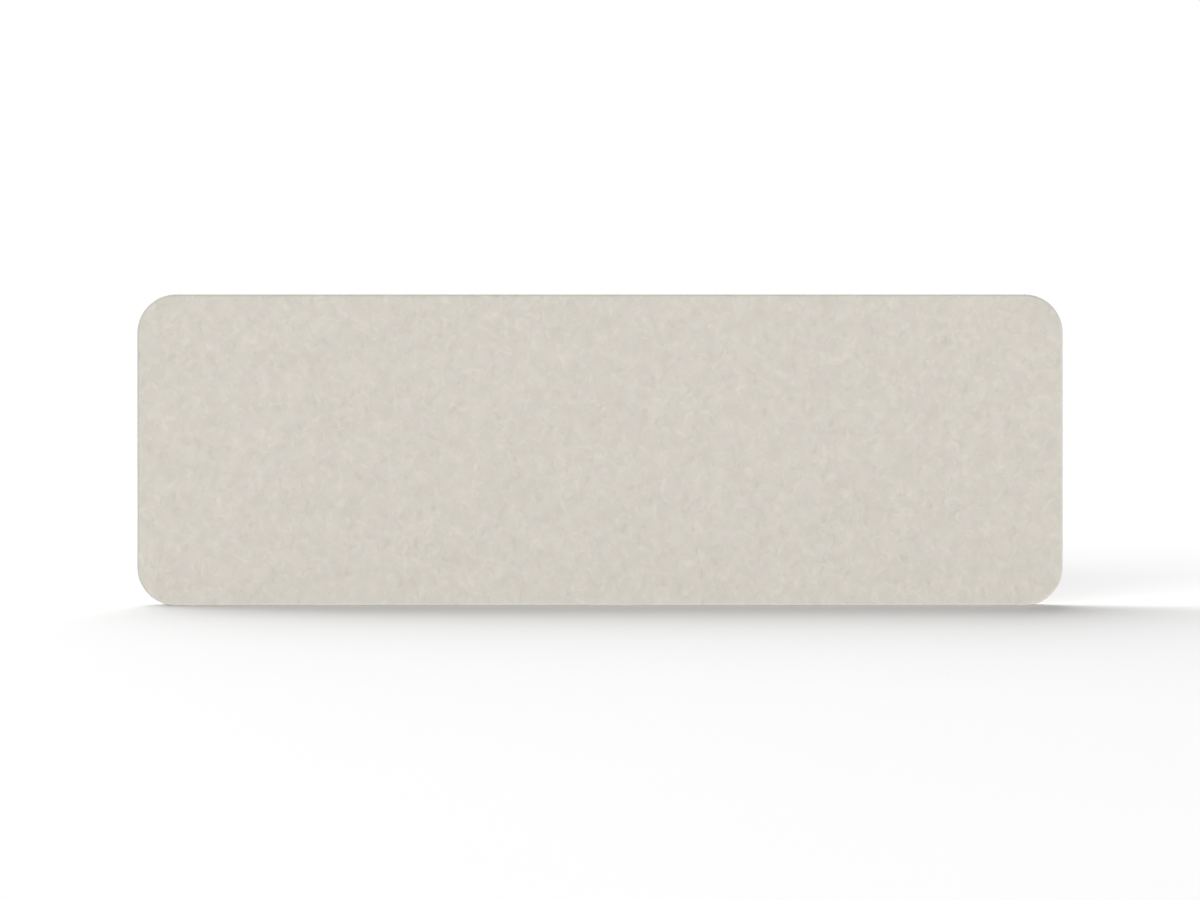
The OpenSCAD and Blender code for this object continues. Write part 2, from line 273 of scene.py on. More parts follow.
def face_field(spacing):
    """The inner rectangle's grid, and the grid place of each outline point on its border."""
    radius = bpy.context.scene.divider_cover.corner_radius
    along, up, round_corner = outline_counts(spacing)
    half = LENGTH / 2 - radius
    grid = [
        (-half + 2 * half * column / along, radius + (HEIGHT - 2 * radius) * row / up)
        for row in range(up + 1)
        for column in range(along + 1)
    ]
    wide = along + 1
    border = [*range(along), *[along] * round_corner]
    border += [row * wide + along for row in range(up)] + [up * wide + along] * round_corner
    border += [up * wide + along - column for column in range(along)] + [up * wide] * round_corner
    border += [(up - row) * wide for row in range(up)] + [0] * round_corner
    starts = [row * wide + column for row in range(up) for column in range(along)]
    quads = [(low, low + 1, low + wide + 1, low + wide) for low in starts]
    return grid, border, quads


def panel_mesh(profile, spacing, side, lift=lambda point, inward: (0.0, 0.0)):
    """A shell that follows the outline in rings from the first place of the profile to its last, and
    covers the face inside them.

    Each place of the profile is (distance in from the edge, distance from the screen's middle plane).
    lift(point, inward) gives how far a point stands proud, along the way out and along Y.
    """
    points = []
    for inward, depth in profile:
        ring = outline(inward, spacing)
        for x, z, out_x, out_z in ring:
            out, proud = lift(Vector((x, side * depth, z)), inward)
            points.append((x + out * out_x, side * (depth + proud), z + out * out_z))
    count = len(ring)
    faces = ring_faces(len(profile), count)
    grid, border, quads = face_field(spacing)
    first = len(points)
    depth = profile[-1][1]
    for x, z in grid:
        proud = lift(Vector((x, side * depth, z)), INSIDE)[1]
        points.append((x, side * (depth + proud), z))
    last_ring = first - count
    for step in range(count):
        after = (step + 1) % count
        face = [last_ring + step, last_ring + after, first + border[after], first + border[step]]
        if border[after] == border[step]:
            face.pop()
        faces.append(tuple(face))
    faces += [tuple(first + corner for corner in quad) for quad in quads]
    if side == REAR:
        faces = [tuple(reversed(face)) for face in faces]
    return points, faces


def unevenness(point, amount, size):
    """A smooth rise and fall in waves of this size, the same each time."""
    return amount * noise.noise(point / size)


def fading(distance, reach):
    """One at an edge or a seam, and less with the distance from it."""
    return math.exp(-distance / reach)


def seam_dip(distance, depth, width=0.0009):
    """How far the cloth is drawn in at this distance from a seam."""
    return depth * math.exp(-((distance / width) ** 2))


# Nodes


class Value:
    """A node's output. Its sums and products with numbers and other values are Math nodes."""

    def __init__(self, tree, socket):
        self.tree = tree
        self.socket = socket

    def maths(self, operation, *others):
        inputs = dict(enumerate((self, *others)))
        return add_node(self.tree, "ShaderNodeMath", inputs, operation=operation)

    def __add__(self, other):
        return self.maths("ADD", other)

    def __sub__(self, other):
        return self.maths("SUBTRACT", other)

    def __mul__(self, other):
        return self.maths("MULTIPLY", other)

    __rmul__ = __mul__

    def between(self, low, high, to_low=0.0, to_high=1.0):
        """Maps low to high onto another range, and holds it there."""
        inputs = {0: self, 1: low, 2: high, 3: to_low, 4: to_high}
        return add_node(self.tree, "ShaderNodeMapRange", inputs, interpolation_type="SMOOTHSTEP")


def connect(tree, value, socket):
    """Links a value to the socket, or sets the socket to a plain one."""
    value = getattr(value, "socket", value)
    if isinstance(value, bpy.types.NodeSocket):
        tree.links.new(value, socket)
    elif socket.type == "RGBA":
        socket.default_value = (*value[:3], 1)
    else:
        socket.default_value = value


def add_node(tree, kind, inputs=None, output=0, **settings):
    """Adds a node, sets its settings, gives its inputs by name or number, and returns one output."""
    node = tree.nodes.new(kind)
    for name, value in settings.items():
        setattr(node, name, value)
    for name, value in (inputs or {}).items():
        connect(tree, value, node.inputs[name])
    return Value(tree, node.outputs[output]) if node.outputs else None


# Materials


def give(material, socket, value):
    """Sets or links one of the inputs of the material's shader."""
    tree = material.node_tree
    connect(tree, value, tree.nodes["Principled BSDF"].inputs[socket])


def new_material(name, roughness, **sockets):
    """A material with its shader's plain values set, and the piece's own coordinates."""
    material = bpy.data.materials.new(name)
    material.use_nodes = True
    give(material, "Roughness", roughness)
    for socket, value in sockets.items():
        give(material, socket.replace("_", " "), value)
    return material, add_node(material.node_tree, "ShaderNodeTexCoord", output="Object")


def end_material(material, colour, lightness, height, distance, strength):
    """Gives the shader its colour, made lighter or darker, and the relief of the height."""
    give(material, "Base Color", shade(colour, lightness))
    relief = {"Height": height, "Distance": distance, "Strength": strength}
    give(material, "Normal", add_node(material.node_tree, "ShaderNodeBump", relief))
    return material


def vectors(operation, first, *others, output=0):
    inputs = dict(enumerate((first, *others)))
    return add_node(first.tree, "ShaderNodeVectorMath", inputs, output, operation=operation)


def shade(colour, lightness):
    """The colour made lighter or darker by a factor about 1."""
    inputs = {0: colour, "Scale": lightness}
    return add_node(lightness.tree, "ShaderNodeVectorMath", inputs, operation="SCALE")


def darker(colour, share):
    return [channel * share for channel in colour]


def blend(factor, first, second):
    """The first colour where the factor is zero, and the second where it is one."""
    inputs = {0: factor, 6: first, 7: second}
    return add_node(factor.tree, "ShaderNodeMix", inputs, 2, data_type="RGBA")


def axis(place, name):
    return add_node(place.tree, "ShaderNodeSeparateXYZ", {0: place}, name)


def stretched(place, stretch, rotation=(0, 0, 0)):
    """Makes a pattern this many times longer along each axis of a turned frame."""
    inputs = {"Vector": place, "Scale": stretch, "Rotation": rotation}
    return add_node(place.tree, "ShaderNodeMapping", inputs, vector_type="TEXTURE")


def cloudy(place, size, detail=2.0, roughness=0.5, distortion=0.0, output="Fac"):
    """Noise from 0 to 1 whose patches are about as wide as size, in metres."""
    inputs = {"Vector": place, "Scale": 1 / size, "Detail": detail}
    inputs |= {"Roughness": roughness, "Distortion": distortion}
    return add_node(place.tree, "ShaderNodeTexNoise", inputs, output)


def thin_lines(pattern, width):
    """One along the lines where a pattern crosses its middle, and zero where it is this far from it."""
    return (pattern - 0.5).maths("ABSOLUTE").between(0.0, width, 1.0, 0.0)


def strands(place, longer, rotations, pattern):
    """The strongest of a pattern drawn out this many times along each of several directions."""
    strongest = None
    for rotation in rotations:
        strand = pattern(stretched(place, (longer, 1, 1), rotation))
        strongest = strand if strongest is None else strongest.maths("MAXIMUM", strand)
    return strongest


def felt_finish(name, colour, contrast):
    """Wool felt: soft clouds, matted tufts as short light streaks, a few dark flecks and fine fibres."""
    material, place = new_material(
        name, 0.95, Sheen_Weight=0.12, Sheen_Roughness=0.6, Specular_IOR_Level=0.25
    )
    drift = cloudy(place, 1 / 62, 0.0, output="Color")
    bent = vectors("MULTIPLY_ADD", drift, (0.016, 0.016, 0.016), place)
    clouds = cloudy(place, 0.028, 1.0)
    mottle = cloudy(bent, 0.014, 1.0)
    tufts = strands(
        bent,
        2.4,
        ((0.2, 0.35, 0.1), (0.6, 1.45, 0.3), (-0.5, 2.5, 0.7)),
        lambda lie: cloudy(lie, 0.0078, 1.0, 0.4).between(0.6, 0.76),
    )
    hollows = cloudy(stretched(bent, (1.5, 1, 1), (0.7, 1.9, 1.1)), 0.0082, 1.0).between(0.59, 0.73)
    fibre = cloudy(bent, 0.0012, 2.0, 0.6)
    fuzz = strands(
        place, 10, ((0.1, 0.7, 0.2), (0.4, -0.9, 0.3)), lambda lie: cloudy(lie, 0.00022, 1.0, 0.6)
    )
    hairs = strands(
        bent,
        9,
        ((0.3, 0.2, 0.4), (-0.3, 1.2, 0.5), (0.5, 2.3, -0.4)),
        lambda lie: thin_lines(cloudy(lie, 0.00055, 0.0), 0.05),
    )
    variation = 0.09 * clouds + 0.14 * mottle + 0.055 * (tufts - hollows)
    variation += 0.02 * fibre + 0.07 * hairs + 0.16 * fuzz
    lightness = contrast * (variation - 0.25) + 1
    hues = cloudy(bent, 1 / 85, 3.0, 0.6, output="Color")
    tint = vectors("MULTIPLY_ADD", hues, [0.07 * contrast] * 3, [1 - 0.035 * contrast] * 3)
    nap = 0.5 * (tufts - hollows) + fibre + 0.1 * hairs + 0.9 * fuzz
    return end_material(material, vectors("MULTIPLY", tint, colour), lightness, nap, 0.00022, 0.6)


def timber_finish(name, colour, upright):
    """Planed softwood: growth rings along the piece, fine pores and a little roughness."""
    material, place = new_material(name, 0.6, Specular_IOR_Level=0.3)
    grain = stretched(place, (1, 1, 16) if upright else (16, 1, 1))
    wander = 0.24 * cloudy(grain, 0.011) + cloudy(grain, 0.05)
    rings = 9.0 * wander + 320.0 * axis(grain, "X" if upright else "Z")
    season = cloudy(grain, 0.024, 1.0).between(0.3, 0.7, 0.35, 1.0)
    late = rings.maths("FRACT").between(0.35, 0.95) * season
    pores = cloudy(grain, 0.0009)
    give(material, "Roughness", late.between(0.0, 1.0, 0.66, 0.5))
    warm = blend(late, colour, darker(colour, 0.72))
    return end_material(material, warm, 0.25 * pores + 0.875, 0.4 * late + pores, 0.00012, 0.6)


def plywood_finish(name, colour, layer):
    """Birch plywood: thin layers through the thickness, every other one end grain and darker, and both
    outer ones light."""
    material, place = new_material(name, 0.65, Specular_IOR_Level=0.3)
    depth = axis(place, "Y").maths("ABSOLUTE")
    layers_in = (depth * (1 / layer) + 0.5).maths("MINIMUM", FRAME_FACE / layer + 0.4)
    other = (layers_in * 0.5).maths("FRACT").between(0.48, 0.52)
    glue = layers_in.maths("PINGPONG", 0.5).between(0.0, 0.07, 0.55, 1.0)
    grain = cloudy(stretched(place, (1, 1, 20)), 0.0012, 3.0)
    end_grain = cloudy(place, 0.0006)
    layers = blend(other, colour, darker(colour, 0.74))
    lightness = (0.3 * grain + 0.12 * end_grain + 0.79) * glue
    return end_material(material, layers, lightness, grain + glue, 0.0001, 0.5)


def beech_finish(name, colour):
    """Beech: short dark flecks along the dowel."""
    material, place = new_material(name, 0.5, Specular_IOR_Level=0.35)
    flecks = cloudy(place, 0.0008).between(0.56, 0.68)
    lightness = -0.18 * flecks + 0.2 * cloudy(place, 0.008) + 0.92
    return end_material(material, colour, lightness, flecks, -0.00008, 0.5)


def fleece_finish(name, colour):
    """Sound-absorbing fleece: loose curled fibres over soft hollows."""
    material, place = new_material(
        name, 1.0, Sheen_Weight=0.2, Sheen_Roughness=0.6, Specular_IOR_Level=0.2
    )
    hollows = cloudy(place, 0.012, 3.0, 0.6)
    fibres = thin_lines(cloudy(place, 0.003, 2.0, 0.6, 1.5), 0.05)
    lightness = 0.3 * hollows + 0.18 * fibres + 0.79
    return end_material(material, colour, lightness, 0.5 * fibres + hollows, 0.0012, 0.7)


def board_finish(name, colour):
    """Pressed felt board: dense grey with light and dark fibres."""
    material, place = new_material(name, 0.9, Specular_IOR_Level=0.25)
    fine = cloudy(place, 0.002, 3.0, 0.65)
    light = cloudy(place, 0.0012, 1.0, 0.5, 2.0).between(0.6, 0.72)
    dark = cloudy(stretched(place, (2, 1, 1), (0.5, 0.9, 0.3)), 0.0012, 1.0).between(0.62, 0.74)
    lightness = 0.3 * fine + 0.45 * light - 0.35 * dark + 0.85
    return end_material(material, colour, lightness, fine, 0.0003, 0.5)


def foam_finish(name, colour):
    """Open-cell foam: small pores between thin walls."""
    material, place = new_material(name, 0.85, Specular_IOR_Level=0.3)
    inputs = {"Vector": place, "Scale": 1 / 0.0009}
    cells = add_node(
        place.tree, "ShaderNodeTexVoronoi", inputs, "Distance", feature="DISTANCE_TO_EDGE"
    )
    walls = cells.between(0.0, 0.25, 1.0, 0.0)
    return end_material(material, colour, 0.22 * walls + 0.86, walls, 0.0003, 0.8)


def tape_finish(name, colour, yarn):
    """Woven tape: yarns along and across that pass over and under each other."""
    material, place = new_material(
        name, 0.8, Sheen_Weight=0.1, Sheen_Roughness=0.5, Specular_IOR_Level=0.3
    )
    warp = (axis(place, "X") * (math.pi / yarn)).maths("SINE")
    weft = ((axis(place, "Y") + axis(place, "Z")) * (math.pi / yarn)).maths("SINE")
    weave = warp * weft * 0.5 + 0.5
    fuzz = cloudy(place, 0.0004)
    lightness = 0.22 * weave + 0.14 * fuzz + 0.82
    return end_material(material, colour, lightness, 0.3 * fuzz + weave, 0.00012, 0.8)


def thread_finish(name, colour):
    """Twisted sewing thread."""
    material, place = new_material(
        name, 0.55, Sheen_Weight=0.15, Sheen_Roughness=0.4, Specular_IOR_Level=0.4
    )
    slant = axis(place, "X") + axis(place, "Y") + axis(place, "Z")
    twist = (slant * (2 * math.pi / 0.0005)).maths("SINE")
    lightness = 0.05 * twist + 0.12 * cloudy(place, 0.006) + 0.94
    return end_material(material, colour, lightness, twist, 0.00004, 0.6)


def coil_finish(name, colour):
    """Nylon wire: smooth, slightly see-through at its edges."""
    material, place = new_material(
        name, 0.32, Subsurface_Weight=0.1, Subsurface_Scale=0.0006, Specular_IOR_Level=0.5
    )
    lightness = 0.12 * cloudy(place, 0.003) + 0.94
    return end_material(material, colour, lightness, cloudy(place, 0.0004), 0.00002, 0.4)


def metal_finish(name, colour, roughness, grain):
    """Tumbled or plated metal: fine dimples, faint smears and small scratches."""
    material, place = new_material(name, roughness, Metallic=1.0)
    smears = cloudy(place, 0.004, 3.0, 0.6)
    dimples = cloudy(place, grain)
    scratch = cloudy(stretched(place, (9, 1, 1), (0.4, 0.2, 0.6)), 0.0003, 1.0)
    marks = scratch.between(0.66, 0.74)
    give(material, "Roughness", 0.22 * smears + 0.15 * marks + (roughness - 0.11))
    lightness = 0.6 * smears + 0.1 * marks + 0.66
    return end_material(material, colour, lightness, -0.6 * marks + dimples, 0.00005, 0.6)


# Geometry Nodes


def new_tree(name, sockets):
    """A Geometry Nodes tree that takes and gives a geometry, and the sockets of its named inputs."""
    tree = bpy.data.node_groups.new(name, "GeometryNodeTree")
    for socket, kind in {"Geometry": "Geometry", **sockets}.items():
        tree.interface.new_socket(socket, in_out="INPUT", socket_type=f"NodeSocket{kind}")
    tree.interface.new_socket("Geometry", in_out="OUTPUT", socket_type="NodeSocketGeometry")
    return tree, tree.nodes.new("NodeGroupInput").outputs


def end_tree(tree, geometry, material):
    """Realises what the tree made, smooths it and gives it its material."""
    real = add_node(tree, "GeometryNodeRealizeInstances", {"Geometry": geometry})
    smooth = add_node(tree, "GeometryNodeSetShadeSmooth", {"Geometry": real})
    painted = add_node(tree, "GeometryNodeSetMaterial", {"Geometry": smooth, "Material": material})
    add_node(tree, "NodeGroupOutput", {0: painted})
    return tree


def grown_piece(name, mesh, tree, values):
    """Runs the tree on the mesh with these named inputs, and keeps the result as a plain mesh."""
    piece = new_object(name, mesh)
    modifier = add_modifier(piece, "Made", "NODES", node_group=tree)
    for item in tree.interface.items_tree:
        if item.in_out == "INPUT" and item.name in values:
            modifier[item.identifier] = values[item.name]
    return apply_modifiers(piece)


def path_mesh(name, points):
    """A closed path through the points, or a straight one where there are only two."""
    edges = [(step, step + 1) for step in range(len(points) - 1)]
    if len(points) > 2:
        edges.append((len(points) - 1, 0))
    mesh = bpy.data.meshes.new(name)
    mesh.from_pydata(points, edges, [])
    return mesh


def stitch_tree():
    """Short stitches, end to end along a path, each dipping into the cloth at both ends."""
    tree, given = new_tree(
        "Stitches",
        {"Pitch": "Float", "Stitch length": "Float", "Thread radius": "Float", "Thread": "Material"},
    )
    curve = add_node(tree, "GeometryNodeMeshToCurve", {"Mesh": given["Geometry"]})
    spacing = {"Curve": curve, "Length": given["Pitch"]}
    spaced = add_node(tree, "GeometryNodeResampleCurve", spacing, mode="LENGTH")
    ball = {"Segments": 6, "Rings": 5, "Radius": 1.0}
    stitch = add_node(tree, "GeometryNodeMeshUVSphere", ball, "Mesh")
    half = Value(tree, given["Stitch length"]) * 0.5
    radius = given["Thread radius"]
    size = add_node(tree, "ShaderNodeCombineXYZ", {"X": half, "Y": radius, "Z": radius})
    sized = add_node(tree, "GeometryNodeTransform", {"Geometry": stitch, "Scale": size})
    tangent = add_node(tree, "GeometryNodeInputTangent")
    turn = add_node(tree, "FunctionNodeAlignRotationToVector", {"Vector": tangent}, axis="X")
    places = {"Points": spaced, "Instance": sized, "Rotation": turn}
    return end_tree(tree, add_node(tree, "GeometryNodeInstanceOnPoints", places), given["Thread"])


def coil_tree():
    """One side of a zip's coil: a nylon wire wound along X and pressed flat, its turns meeting the
    other side's at the middle."""
    sizes = dict.fromkeys(("Length", "Turns", "Half width", "Half height", "Wire radius"), "Float")
    tree, given = new_tree("Zip coil", {"Start": "Vector", **sizes, "Wire": "Material"})
    winding = {"Resolution": 10, "Rotations": given["Turns"], "Height": given["Length"]}
    winding |= {"Start Radius": 1.0, "End Radius": 1.0}
    spiral = add_node(tree, "GeometryNodeCurveSpiral", winding)
    press = {"X": given["Half height"], "Y": given["Half width"], "Z": 1.0}
    size = add_node(tree, "ShaderNodeCombineXYZ", press)
    pressed = add_node(tree, "GeometryNodeTransform", {"Geometry": spiral, "Scale": size})
    lie = {"Geometry": pressed, "Rotation": (0, math.pi / 2, 0), "Translation": given["Start"]}
    laid = add_node(tree, "GeometryNodeTransform", lie)
    circle = {"Resolution": 5, "Radius": given["Wire radius"]}
    section = add_node(tree, "GeometryNodeCurvePrimitiveCircle", circle)
    sweep = {"Curve": laid, "Profile Curve": section, "Fill Caps": True}
    return end_tree(tree, add_node(tree, "GeometryNodeCurveToMesh", sweep), given["Wire"])


def dowel_tree():
    """A dowel at each point, turned along the point's own axis."""
    tree, given = new_tree("Dowels", {"Dowel": "Object", "Beech": "Material"})
    named = {"Name": "axis"}
    own = add_node(tree, "GeometryNodeInputNamedAttribute", named, data_type="FLOAT_VECTOR")
    turn = add_node(tree, "FunctionNodeAlignRotationToVector", {"Vector": own}, axis="X")
    dowel = add_node(tree, "GeometryNodeObjectInfo", {"Object": given["Dowel"]}, "Geometry")
    places = {"Points": given["Geometry"], "Instance": dowel, "Rotation": turn}
    return end_tree(tree, add_node(tree, "GeometryNodeInstanceOnPoints", places), given["Beech"])


# Settings


def length(name, description, default):
    return FloatProperty(name=name, description=description, default=default, unit="LENGTH", precision=5)


def number(name, description, default, **more):
    return FloatProperty(name=name, description=description, default=default, min=0, **more)


def colour(name, description, default):
    return FloatVectorProperty(
        name=name, description=description, default=default, subtype="COLOR", min=0, max=1, size=3
    )


class CoverSettings(PropertyGroup):
    """The felt cover."""

    felt: colour("Felt", "Colour of the wool felt", (0.668, 0.634, 0.568))
    contrast: number("Mottle", "How strongly tufts and flecks show", 1.0, max=3)
    corner_radius: length("Corner radius", "Radius of the screen's four corners", 0.05)
    cloth: length("Cloth", "Thickness of the felt", 0.001)
    spacing: length("Mesh spacing", "Distance between points of the cover's mesh", 0.0045)
    uneven: length("Unevenness", "How far the stretched felt rises and falls", 0.00015)
    seam_depth: length("Seam depth", "How far a seam draws the felt in", 0.0009)


class StitchSettings(PropertyGroup):
    """The sewing."""

    thread: colour("Thread", "Colour of the sewing thread", (0.56, 0.52, 0.44))
    pitch: length("Pitch", "Distance from one stitch to the next", 0.0032)
    stitch: length("Stitch", "Length of one stitch", 0.0026)
    radius: length("Thread radius", "Radius of the sewing thread", 0.00032)
    from_seam: length("From the seam", "Distance of the line of stitches from the seam", 0.0028)


class ZipSettings(PropertyGroup):
    """The zip."""

    tape: colour("Tape", "Colour of the woven tapes", (0.6, 0.565, 0.5))
    coil: colour("Coil", "Colour of the nylon coil", (0.68, 0.65, 0.58))
    metal: colour("Metal", "Colour of the slider, pull and stops", (0.55, 0.55, 0.54))
    tape_thickness: length("Tape", "Thickness of the tapes", 0.0006)
    coil_pitch: length("Coil pitch", "Distance from one turn of the coil to the next", 0.0013)
    wire: length("Wire", "Radius of the coil's wire", 0.00035)
    eased: length("Eased edges", "Width of the eased edges of slider and pull", 0.0002)


class InsertSettings(PropertyGroup):
    """The threaded inserts."""

    metal: colour("Metal", "Colour of the plated inserts", (0.6, 0.6, 0.58))
    bore: length("Bore radius", "Radius inside the thread", 0.003)
    barrel: length("Barrel radius", "Radius of the part in the rail", 0.005)
    rim: length("Rim", "Thickness of the rim", 0.001)
    thread_pitch: length("Thread pitch", "Distance from one turn of the thread to the next", 0.001)
    thread_depth: length("Thread depth", "Depth of the thread", 0.0003)


class PaddingSettings(PropertyGroup):
    """The slabs, boards and foam under the felt."""

    fleece: colour("Fleece", "Colour of the sound-absorbing slabs", (0.6, 0.6, 0.58))
    board: colour("Felt board", "Colour of the stiff boards", (0.36, 0.36, 0.35))
    foam: colour("Foam", "Colour of the foam strip", (0.8, 0.79, 0.75))
    voxel: length("Slab mesh", "Size of the slabs' mesh", 0.005)
    loft: length("Loft", "How far the slabs' faces rise and fall", 0.0008)


class TimberSettings(PropertyGroup):
    """The frame's wood."""

    rail: colour("Rails", "Colour of the softwood", (0.56, 0.38, 0.2))
    plywood: colour("Plywood", "Colour of the corner blocks", (0.6, 0.43, 0.26))
    layer: length("Plywood layer", "Thickness of one layer of the plywood", 0.00143)
    beech: colour("Dowels", "Colour of the beech dowels", (0.62, 0.42, 0.25))
    flutes: IntProperty(name="Flutes", description="Grooves round a dowel", default=16, min=6, max=40)
    flute_depth: length("Flute depth", "Depth of a dowel's grooves", 0.00045)


class StageSettings(PropertyGroup):
    """The floor, the lights and the camera."""

    # Near the screen the floor is painted darker than far off, a painted shade that deepens the screen's
    # shadow on it.
    floor: colour("Floor", "Colour of the floor as the camera sees it", (0.9, 0.9, 0.9))
    far_floor: colour("Far floor", "Colour of the floor far from the screen", (0.955, 0.955, 0.955))
    bounce: colour("Floor's bounce", "Colour of the light that the floor throws back", (0.18, 0.18, 0.18))
    distance: length("Camera distance", "Distance of the camera from the front face", 4.0)
    view_width: length("View width", "Width of the view at the front face", 1.5612)
    ambient: number("Surroundings", "Strength of the light from all round", 0.16)
    key: number("Key", "Strength of the light from behind the screen", 4.1)
    fill: number("Fill", "Strength of the light from in front of the screen", 2.15)
    low_fill: number("Low fill", "Strength of the light thrown up at the front", 2.39)


# Pieces


class DIVIDER_OT_stage(Operator):
    """Add the floor, the surroundings, the lights and the camera"""

    bl_idname = "divider.stage"
    bl_label = "Stage"

    def execute(self, context):
        stage = context.scene.divider_stage
        context.scene.view_settings.view_transform = "Standard"
        self.add_floor(stage, radius=28, corners=64)
        self.add_surroundings(context.scene, stage)
        self.add_light("Key", stage.key, width=78, azimuth=180 + 30, elevation=34)
        self.add_light("Fill", stage.fill, width=24, azimuth=-20, elevation=12)
        low_fill = self.add_light("Low fill", stage.low_fill, width=20, azimuth=70, elevation=-40)
        low_fill.use_shadow = False
        camera = bpy.data.cameras.new("Camera")
        camera.sensor_width = 36
        camera.lens = camera.sensor_width * stage.distance / stage.view_width
        holder = new_object("Camera", camera)
        holder.location = (0, -HALF_THICKNESS - stage.distance, HEIGHT / 2)
        holder.rotation_euler = (math.pi / 2, 0, 0)
        context.scene.camera = holder
        return {"FINISHED"}

    def add_floor(self, stage, radius, corners):
        """A round floor, whose paint is brighter to the eye than for the light that it throws back, and
        darker near the screen: a painted shade round it that fades out far off.
        """
        material, place = new_material("Painted floor", 0.9, Specular_IOR_Level=0.1)
        # Painted shade: darker paint close to the screen, brightening out to the far paint, which meets the
        # white surroundings.
        near, far = 0.8, 5.0
        away = vectors("LENGTH", place, output="Value").between(near, far)
        paint = blend(away, stage.floor, stage.far_floor)
        paint = blend(self.looked_at(material.node_tree), stage.bounce, paint)
        give(material, "Base Color", shade(paint, 0.01 * cloudy(place, 0.4) + 0.995))
        turns = [math.tau * corner / corners for corner in range(corners)]
        ring = [(radius * math.cos(turn), radius * math.sin(turn), 0) for turn in turns]
        mesh = bpy.data.meshes.new("floor")
        mesh.from_pydata(ring, [], [tuple(range(corners))])
        mesh.materials.append(material)
        new_object("floor", mesh)

    def add_surroundings(self, scene, stage):
        """Soft light from all round; the camera, gloss and glass see plain white instead."""
        scene.world = bpy.data.worlds.new("Surroundings")
        scene.world.use_nodes = True
        tree = scene.world.node_tree
        tree.nodes.clear()
        soft, white = [
            add_node(tree, "ShaderNodeBackground", {"Color": (1, 1, 1), "Strength": strength})
            for strength in (stage.ambient, 1.0)
        ]
        mixed = add_node(tree, "ShaderNodeMixShader", {0: self.looked_at(tree), 1: soft, 2: white})
        add_node(tree, "ShaderNodeOutputWorld", {"Surface": mixed})

    def looked_at(self, tree):
        """One where the camera looks, straight or by way of gloss or glass."""
        rays = tree.nodes.new("ShaderNodeLightPath").outputs
        mirrored = Value(tree, rays["Is Glossy Ray"]).maths("MAXIMUM", rays["Is Transmission Ray"])
        return mirrored.maths("MAXIMUM", rays["Is Camera Ray"])

    def add_light(self, name, strength, width, azimuth, elevation):
        """A far, wide, even light; azimuth 0 is in front of the screen and 90 at its right, in degrees."""
        light = bpy.data.lights.new(name, "SUN")
        light.energy = strength
        light.angle = math.radians(width)
        round_z, up = math.radians(azimuth), math.radians(elevation)
        level = math.cos(up)
        towards = Vector((math.sin(round_z) * level, -math.cos(round_z) * level, math.sin(up)))
        new_object(name, light).rotation_euler = (-towards).to_track_quat("-Z", "Y").to_euler()
        return light


def felt_material():
    cover = bpy.context.scene.divider_cover
    return bpy.data.materials.get("Wool felt") or felt_finish("Wool felt", cover.felt, cover.contrast)


def felt_lift(point, inward):
    """How the stretched felt departs from a flat board: gently uneven, and drawn in at the seam."""
    cover = bpy.context.scene.divider_cover
    rise = unevenness(point, cover.uneven, size=0.11)
    rise += unevenness(point, cover.uneven * 0.5, size=0.035)
    pucker = unevenness(point, cover.uneven, size=0.012) * fading(inward, reach=0.008)
    dip = seam_dip(abs(point.y) - SEAM_Y, cover.seam_depth)
    return (rise * 0.5 + pucker - dip) * fading(inward, reach=0.004), rise + pucker * 0.5


class DIVIDER_OT_felt_faces(Operator):
    """Add the felt of the front and rear faces, each with its rolled edge"""

    bl_idname = "divider.felt_faces"
    bl_label = "Felt faces"

    def execute(self, context):
        cover = context.scene.divider_cover
        turns = [math.radians(angle) for angle in (0, 6, 13, 22, 34, 48, 62, 76, 90)]
        profile = [
            (ROLL_RADIUS * (1 - math.cos(turn)), SEAM_Y + ROLL_RADIUS * math.sin(turn)) for turn in turns
        ]
        inward = ROLL_RADIUS + 0.001
        least_gap = cover.spacing * 0.6
        close_rings = len(turns) + 2
        while inward < cover.corner_radius - least_gap:
            profile.append((inward, HALF_THICKNESS))
            inward += cover.spacing if len(profile) > close_rings else cover.spacing / 2
        edge = ROLL_RADIUS * (math.pi / 2 - 1)
        flat = (LENGTH + 2 * edge, HEIGHT + 2 * edge)
        area = flat[0] * flat[1] - (4 - math.pi) * (cover.corner_radius + edge) ** 2
        for side, name in SIDES:
            surface = panel_mesh(profile, cover.spacing, side, felt_lift)
            felt = give_wall(new_piece(f"{name}_felt", surface, felt_material()), cover.cloth)
            finish_piece(felt, "cover_felt", f"{name}_cover")
        return {"FINISHED"}


def insert_centres():
    """Where the inserts stand along the rail, from the CAD node's own solids."""
    return [(low[0] + high[0]) / 2 for low, high in solid_boxes("bracket_inserts")]


def insert_cutters(top):
    """Round cutters for the clearances of the inserts, as objects."""
    size = {"radius1": CLEARANCE, "radius2": CLEARANCE, "depth": top - CUT_FROM}
    cutters = []
    for centre in insert_centres():
        shape = bmesh.new()
        bmesh.ops.create_cone(shape, cap_ends=True, segments=48, **size)
        bmesh.ops.translate(shape, verts=shape.verts, vec=(centre, 0, (CUT_FROM + top) / 2))
        cutters.append(shape_object("cutter", shape))
    return cutters


